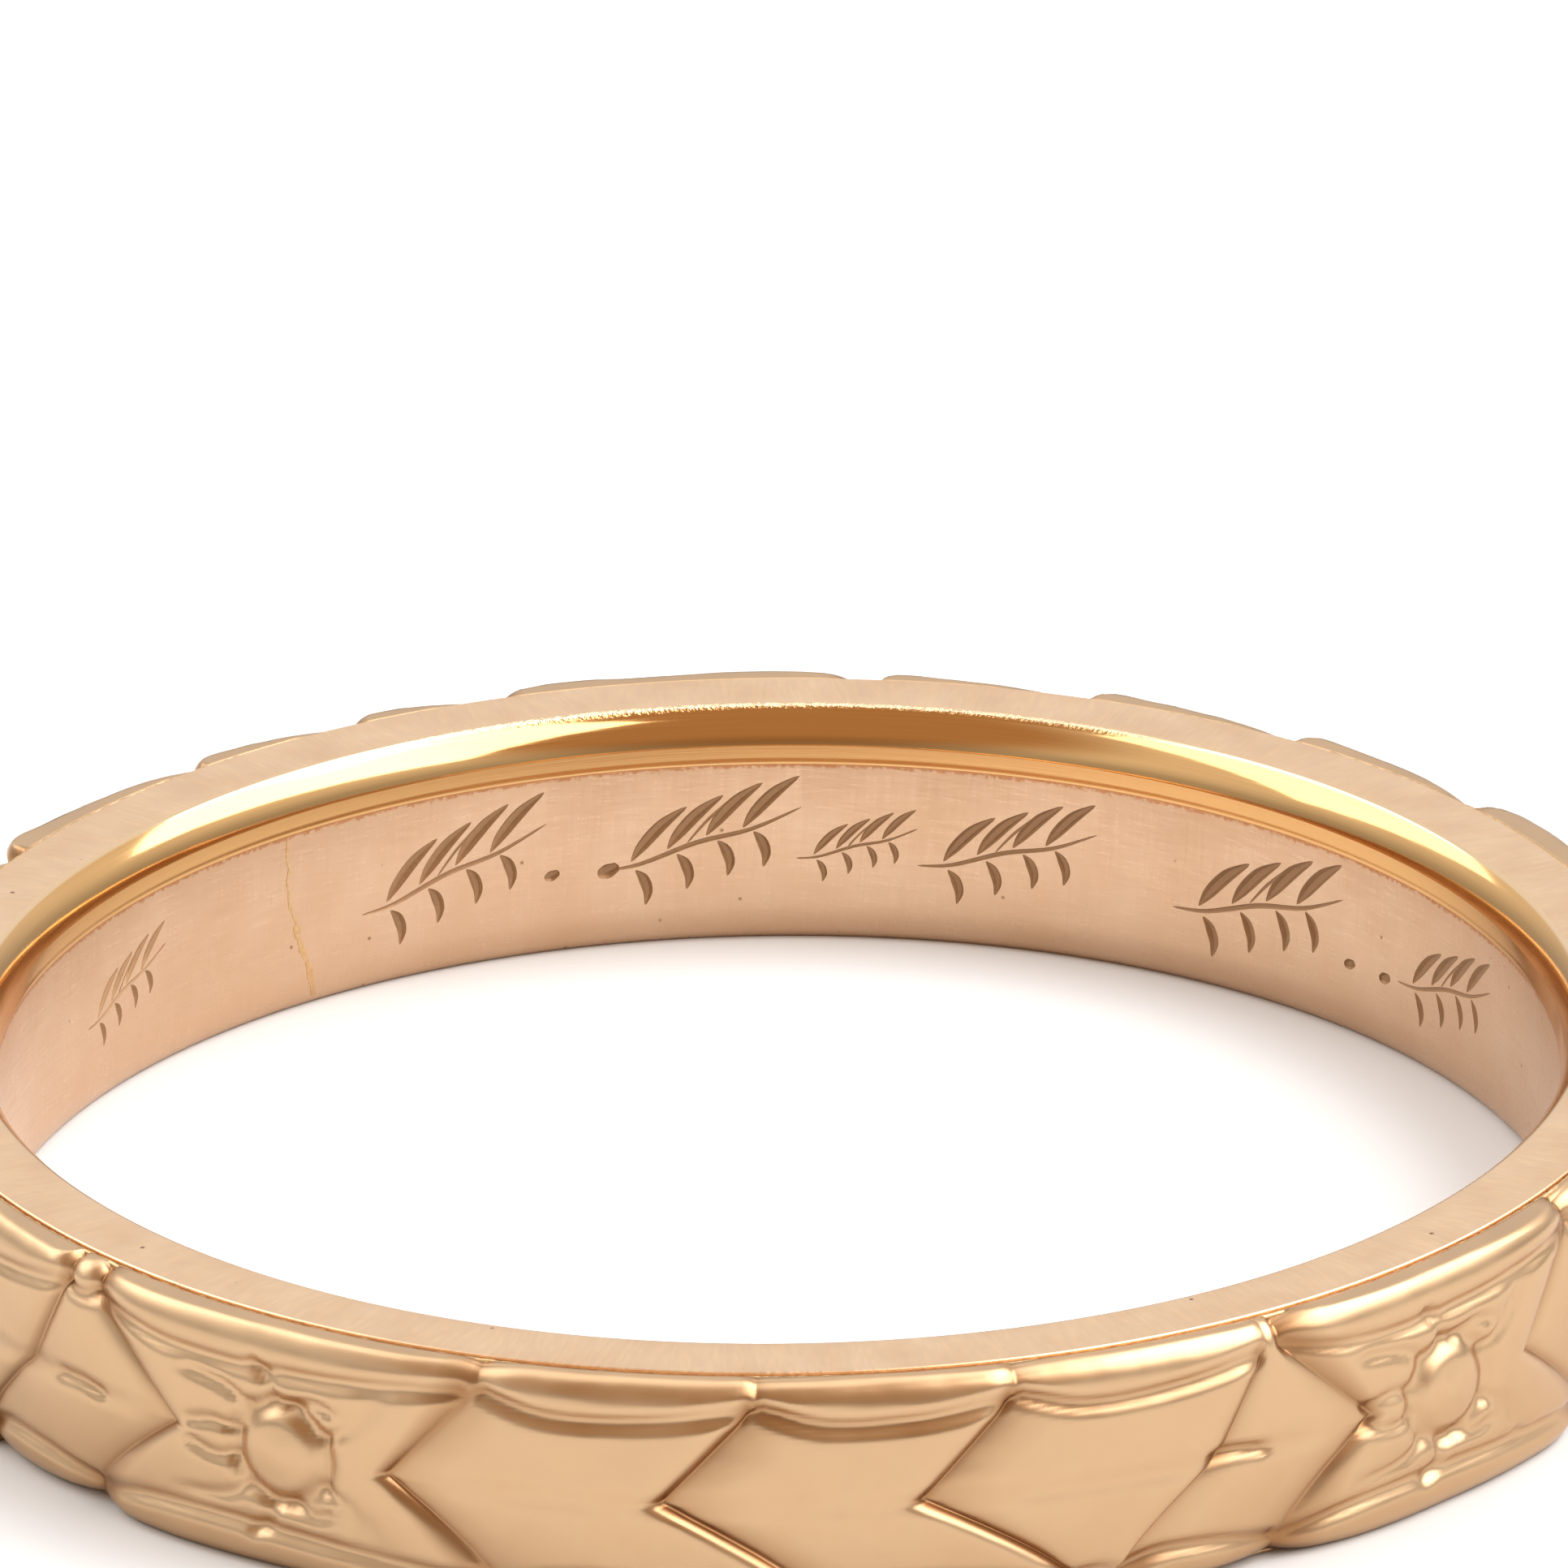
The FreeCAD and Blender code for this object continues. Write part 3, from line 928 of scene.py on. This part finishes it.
    toCentre = distanceTo(places, "POINTS")
    button = add("ShaderNodeMapRange", {"Value": toCentre, "From Max": c["buttonReach"], "To Min": 1.0,
            "To Max": 0.0}, interpolation_type="SMOOTHSTEP")
    midrib = add("ShaderNodeMapRange", {"Value": distance, "From Max": c["midribReach"],
            "To Min": c["midribDepth"], "To Max": 0.0}, interpolation_type="SMOOTHSTEP")
    leafy = add("ShaderNodeMapRange", {"Value": toCentre, "From Min": c["leafFrom"], "From Max": c["leafTo"]})
    grooves.append(add("ShaderNodeMath", [midrib, leafy], operation="MULTIPLY"))

    uneven = add("ShaderNodeTexNoise", {"Vector": flatPlace, "Scale": 1 / c["unevenMm"], "Detail": 3})
    uneven = add("ShaderNodeMapRange", {"Value": uneven, "To Min": -1.0, "To Max": 1.0})
    uneven = add("ShaderNodeMath", [uneven, given["Unevenness"]], operation="MULTIPLY")

    rim = add("ShaderNodeMapRange", {"Value": distance, "From Min": c["rimFrom"], "From Max": c["rimTo"]},
            interpolation_type="SMOOTHSTEP")
    rimRise = add("ShaderNodeMath", [named["rise"], named["rimRelief"]], operation="MULTIPLY")
    faceRise = add("ShaderNodeMath", [named["rise"], c["faceRelief"]], operation="MULTIPLY")
    height = add("ShaderNodeMix", {"Factor": rim, "A": faceRise, "B": rimRise}, data_type="FLOAT")
    twoSided = add("ShaderNodeMath", [cosine, cosine], operation="MULTIPLY")
    height = add("ShaderNodeMath", [twoSided, c["swell"], height], operation="MULTIPLY_ADD")
    height = add("ShaderNodeMath", [height, uneven], operation="ADD")
    height = add("ShaderNodeMath", [button, given["Button rise"], height], operation="MULTIPLY_ADD")
    for groove in grooves:
        height = add("ShaderNodeMath", [height, groove], operation="SUBTRACT")
    height = add("ShaderNodeMath", [height, named["carve"]], operation="MULTIPLY")

    radius = add("ShaderNodeMath", [height, named["faceOut"], named["outwards"]], operation="MULTIPLY_ADD")
    radius = add("ShaderNodeMath", [radius, mm], operation="MULTIPLY")
    level = add("ShaderNodeMath", [height, named["faceUp"], named["height"]], operation="MULTIPLY_ADD")
    level = add("ShaderNodeClamp", [level, -c["sideHeight"], c["sideHeight"]])
    place = add("ShaderNodeCombineXYZ", [add("ShaderNodeMath", [size, share], operation="MULTIPLY") for size,
            share in ((radius, cosine), (radius, sine), (level, mm))])

    # The stored height is lowered by the grime and painted shade, so that the carved gold darkens there.
    depth = add("ShaderNodeMath", [height, named["grime"]], operation="SUBTRACT")
    kept = add("GeometryNodeStoreNamedAttribute", {"Geometry": swept, "Name": "carveHeight", "Value": depth},
            data_type="FLOAT", domain="POINT")
    carved = add("GeometryNodeSetPosition", {"Geometry": kept, "Position": place})
    smooth = add("GeometryNodeSetShadeSmooth", {"Geometry": carved})
    real = add("GeometryNodeRealizeInstances", {"Geometry": smooth})
    painted = add("GeometryNodeSetMaterial", {"Geometry": real, "Material": given["Gold"]})
    add("NodeGroupOutput", {"Geometry": painted})
    return tree


sleevePiece = sleeveRail()
sleevePiece.name = "carvedSleeve"
drawn = {
    "Section": sleeveSection(),
    "Blossoms": hiddenShape("blossomPlaces", [(angle, 0, 0) for angle in carving["blossomAngles"]], []),
    "Scallops": flatLines("scallopLines", scallopLines()),
    "Petals": flatLines("petalLines", petalLines()),
    "Collars": flatLines("collarLines", collarLines()),
}
carver = sleevePiece.modifiers.new("carving", "NODES")
carver.node_group = sleeveTree()
giveInputs(carver, Gold=carvedGold, **drawn)
applyModifiers(sleevePiece, keep=("carveHeight",))
for shape in drawn.values():
    bpy.data.objects.remove(shape)
pointFacesOut(sleevePiece.data)
print("sleeve carved:", len(sleevePiece.data.polygons), "faces")


# ---- solder ----

solder = {
    "lineRadius": 9.735,  # in the channel between the band and the sleeve
    "lineHeight": 1.362,
    "lineThickness": 0.034,
    "lineSteps": 1500,
    "lumpiness": 0.012,
    "lumpRange": (-1.6, 1.2),
    "lumpMm": 0.09,
    "bandSeamAngle": 130.0,
    "bandSeamDrift": 1.9,  # degrees for each millimetre below the middle
    "bandSeamWide": 0.075,  # below the height where it narrows
    "bandSeamNarrow": 0.03,
    "bandSeamNarrows": -0.35,
    "bandSeamEnds": (-1.30, 0.76),
    "sleeveSeamAngle": 187.0,
    "sleeveSeamWidth": 0.05,
    "sleeveSeamEnds": (-1.34, 1.34),
    "seamRows": 150,
    "seamThinnest": 0.008,
    "seamRagged": 0.9,  # how much its width varies, for its width, and how quickly, for each millimetre
    "seamRaggedness": 14,
    "seamWander": 0.25,  # the same for its place, in degrees
    "seamWandering": 5,
    "seamProud": 0.004,
    "seamSink": 0.06,
}


# The lumpy thread of solder that shows between the band and the sleeve.
def solderThreadTree():
    d = solder
    tree = bpy.data.node_groups.new("solderThreadTree", "GeometryNodeTree")
    add = partial(addNode, tree)
    tree.interface.new_socket("Geometry", in_out="INPUT", socket_type="NodeSocketGeometry")
    for name, value in (("Ring radius", d["lineRadius"] * mm), ("Height", d["lineHeight"] * mm),
                        ("Thickness", d["lineThickness"] * mm), ("Lumpiness", d["lumpiness"] * mm)):
        tree.interface.new_socket(name, in_out="INPUT", socket_type="NodeSocketFloat").default_value = value
    tree.interface.new_socket("Solder", in_out="INPUT", socket_type="NodeSocketMaterial")
    tree.interface.new_socket("Geometry", in_out="OUTPUT", socket_type="NodeSocketGeometry")
    given = add("NodeGroupInput").outputs
    loop = add("GeometryNodeCurvePrimitiveCircle", {"Resolution": d["lineSteps"],
            "Radius": given["Ring radius"]})
    bead = add("GeometryNodeCurvePrimitiveCircle", {"Resolution": 10, "Radius": given["Thickness"]})
    thread = add("GeometryNodeCurveToMesh", {"Curve": loop, "Profile Curve": bead})
    lumps = add("ShaderNodeTexNoise", {"Scale": 1 / (d["lumpMm"] * mm), "Detail": 2})
    lowest, highest = d["lumpRange"]
    lumps = add("ShaderNodeMapRange", {"Value": lumps, "To Min": lowest, "To Max": highest})
    lumps = add("ShaderNodeMath", [lumps, given["Lumpiness"]], operation="MULTIPLY")
    push = add("ShaderNodeVectorMath", {0: add("GeometryNodeInputNormal"), "Scale": lumps}, operation="SCALE")
    lift = add("ShaderNodeCombineXYZ", {"Z": given["Height"]})
    move = add("ShaderNodeVectorMath", [push, lift], operation="ADD")
    lumpy = add("GeometryNodeSetPosition", {"Geometry": thread, "Offset": move})
    real = add("GeometryNodeRealizeInstances", {"Geometry": lumpy})
    painted = add("GeometryNodeSetMaterial", {"Geometry": real, "Material": given["Solder"]})
    add("NodeGroupOutput", {"Geometry": painted})
    return tree


def solderThread(name, tree, side):
    piece = hiddenShape(name, [], [])
    filler = piece.modifiers.new("solder", "NODES")
    filler.node_group = tree
    giveInputs(filler, **{"Height": side * solder["lineHeight"] * mm, "Solder": solderGold})
    applyModifiers(piece)
    piece.data.polygons.foreach_set("use_smooth", [True] * len(piece.data.polygons))
    pointFacesOut(piece.data)
    return piece


# A ragged strip of solder over a seam. It lies on the piece it mends, whose surface is found by looking for
# it from the ring's axis (outwards) or from well outside the ring (inwards).
def solderSeam(name, mended, angleAt, widthAt, ends, outwards):
    d = solder
    surface = BVHTree.FromObject(mended, bpy.context.evaluated_depsgraph_get())
    lowest, highest = ends
    rows = d["seamRows"]
    points = []
    for row in range(rows + 1):
        height = lowest + (highest - lowest) * row / rows
        ragged = d["seamRagged"] * noise.noise(Vector((height * d["seamRaggedness"], 3.1, 0.0)))
        wander = d["seamWander"] * noise.noise(Vector((height * d["seamWandering"], 0.0, 7.7)))
        middle = angleAt(height) + wander
        half = max(d["seamThinnest"], widthAt(height) * (1 + ragged)) / 2
        for side in (-1, 1):
            angle = middle + math.degrees(side * half / fingerRadius)
            out = ringPoint(angle, 1.0, 0) / mm
            start = ringPoint(angle, 0.0 if outwards else 12.0, height)
            found = surface.ray_cast(start, out if outwards else -out)[0]
            radius = math.hypot(found.x, found.y) / mm
            faceSide = -1 if outwards else 1
            for depth in (d["seamProud"] * faceSide, -d["seamSink"] * faceSide):
                points.append(ringPoint(angle, radius + depth, height))
    faces = []
    for row in range(rows):
        here, there = row * 4, row * 4 + 4
        for one, other in ((0, 2), (2, 3), (3, 1), (1, 0)):
            faces.append((here + one, here + other, there + other, there + one))
    faces += [(0, 1, 3, 2), (rows * 4, rows * 4 + 2, rows * 4 + 3, rows * 4 + 1)]
    mesh = bpy.data.meshes.new(name)
    mesh.from_pydata(points, [], faces)
    pointFacesOut(mesh)
    return pieceFromMesh(name, mesh, solderGold)


threadTree = solderThreadTree()
upperThread = solderThread("upperSolderThread", threadTree, 1)
lowerThread = solderThread("lowerSolderThread", threadTree, -1)
bandSeam = solderSeam("bandSeam", bandPiece,
        lambda z: solder["bandSeamAngle"] + solder["bandSeamDrift"] * min(z, 0.0),
        lambda z: solder["bandSeamWide"] if z < solder["bandSeamNarrows"] else solder["bandSeamNarrow"],
        solder["bandSeamEnds"], True)
sleeveSeam = solderSeam("sleeveSeam", sleevePiece, lambda z: solder["sleeveSeamAngle"],
        lambda z: solder["sleeveSeamWidth"], solder["sleeveSeamEnds"], False)
print("solder run in")


# ---- setting out ----

for piece, node, slot in (
    (bandPiece, "inner_band", "rose_gold"),
    (sleevePiece, "carved_sleeve", "yellow_gold"),
    (bandSeam, "inner_band_seam_solder", "seam_solder"),
    (sleeveSeam, "sleeve_seam_solder", "seam_solder"),
    (upperThread, "upper_solder_line", "edge_solder"),
    (lowerThread, "lower_solder_line", "edge_solder"),
):
    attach(piece, "root")
    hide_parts(node)


# ---- studio ----

studio = {
    "floorSide": 3.0,
    "floorColour": "#dbdcdd",
    "floorRoughness": 0.9,
    "floorGloss": 0.1,
    "tentColour": "#ffffff",
    "skyStrength": 1.0,
    "horizonShade": 0.46,
    "clearElevation": 24,  # degrees above which the tent is evenly bright
    "openingElevation": 42,  # the tent's opening, where the lens looks in from a dim, warm room
    "openingInner": 30,  # degrees from its middle that it is fully dim, and that it ends
    "openingOuter": 50,
    "openingColour": "#c4a17e",
    "reach": 0.5,  # metres from the ring to each lamp
    "lights": (
        # name, azimuth and elevation in degrees, width and height in metres, brightness of its face
        ("overheadSoftbox", 90, 84, 0.42, 0.40, 0.8),
        ("rightSoftbox", -12, 46, 0.58, 0.38, 3.9),
        ("highSoftbox", 18, 61, 0.34, 0.22, 2.8),
        ("leftSoftbox", 164, 43, 0.40, 0.36, 2.3),
    ),
}


def layFloor():
    half = studio["floorSide"] / 2
    lowest = cadBox[0].z
    mesh = bpy.data.meshes.new("paperFloor")
    corners = ((-1, -1), (1, -1), (1, 1), (-1, 1))
    mesh.from_pydata([(x * half, y * half, lowest) for x, y in corners], [], [(0, 1, 2, 3)])
    paper = bpy.data.materials.new("whitePaper")
    paper.use_nodes = True
    shader = next(node for node in paper.node_tree.nodes if node.type == "BSDF_PRINCIPLED")
    shader.inputs["Base Color"].default_value = linearColour(studio["floorColour"])
    shader.inputs["Roughness"].default_value = studio["floorRoughness"]
    shader.inputs["Specular IOR Level"].default_value = studio["floorGloss"]
    floor = pieceFromMesh("paperFloor", mesh, paper)


def hangLights():
    for name, azimuth, elevation, width, height, brightness in studio["lights"]:
        lamp = bpy.data.lights.new(name, "AREA")
        lamp.shape = "RECTANGLE"
        lamp.size = width
        lamp.size_y = height
        lamp.energy = brightness * math.pi * width * height
        turn, lift = math.radians(azimuth), math.radians(elevation)
        out = Vector((math.cos(turn) * math.cos(lift), math.sin(turn) * math.cos(lift), math.sin(lift)))
        light = bpy.data.objects.new(name, lamp)
        light.location = out * studio["reach"]
        light.rotation_euler = (-out).to_track_quat("-Z", "Y").to_euler()
        bpy.context.scene.collection.objects.link(light)


# A white tent, dimmer near the table, with an opening for the lens.
def raiseSky():
    sky = bpy.data.worlds.new("whiteTent")
    sky.use_nodes = True
    bpy.context.scene.world = sky
    tree = sky.node_tree
    add = partial(addNode, tree)
    background = next(node for node in tree.nodes if node.type == "BACKGROUND")
    direction = add("ShaderNodeTexCoord").outputs["Generated"]
    height = add("ShaderNodeSeparateXYZ", {"Vector": direction}).outputs["Z"]
    clear = math.sin(math.radians(studio["clearElevation"]))
    brightness = add("ShaderNodeMapRange", {"Value": height, "From Max": clear,
            "To Min": studio["horizonShade"], "To Max": studio["skyStrength"]},
            interpolation_type="SMOOTHSTEP")
    lift = math.radians(studio["openingElevation"])
    towards = add("ShaderNodeVectorMath", [direction, (0, -math.cos(lift), math.sin(lift))],
            operation="DOT_PRODUCT").outputs["Value"]
    outer, inner = (math.cos(math.radians(studio[name])) for name in ("openingOuter", "openingInner"))
    opening = add("ShaderNodeMapRange", {"Value": towards, "From Min": outer, "From Max": inner},
            interpolation_type="SMOOTHSTEP")
    tint = add("ShaderNodeMix", {"Factor": opening, 6: linearColour(studio["tentColour"]),
            7: linearColour(studio["openingColour"])}, data_type="RGBA")
    tree.links.new(tint.outputs[2], background.inputs["Color"])
    tree.links.new(brightness.outputs[0], background.inputs["Strength"])


# A long macro lens, close to level with the ring.
camera = {
    "distance": 220.6,
    "elevation": 22.6,
    "roll": -0.5,
    "aimAcross": 0.06,  # where the lens points, from the middle of the ring, in its own right and up
    "aimUp": 3.82,
    "lens": 457.3,
    "sensor": 36.0,
}


def setCamera():
    lift, roll = math.radians(camera["elevation"]), math.radians(camera["roll"])
    back = Vector((0, -math.cos(lift), math.sin(lift)))
    right, up = Vector((1, 0, 0)), Vector((0, math.sin(lift), math.cos(lift)))
    across = math.cos(roll) * right + math.sin(roll) * up
    above = -math.sin(roll) * right + math.cos(roll) * up
    eye = bpy.data.objects.new("macroCamera", bpy.data.cameras.new("macroCamera"))
    bpy.context.scene.collection.objects.link(eye)
    eye.matrix_world = Matrix((across, above, back)).transposed().to_4x4()
    eye.location = (back * camera["distance"] + across * camera["aimAcross"] + above * camera["aimUp"]) * mm
    eye.data.lens = camera["lens"]
    eye.data.sensor_width = camera["sensor"]
    eye.data.clip_start = 0.01
    eye.data.clip_end = 20.0
    bpy.context.scene.camera = eye


layFloor()
hangLights()
raiseSky()
setCamera()
bpy.context.scene.view_settings.view_transform = "Standard"
print("studio ready")
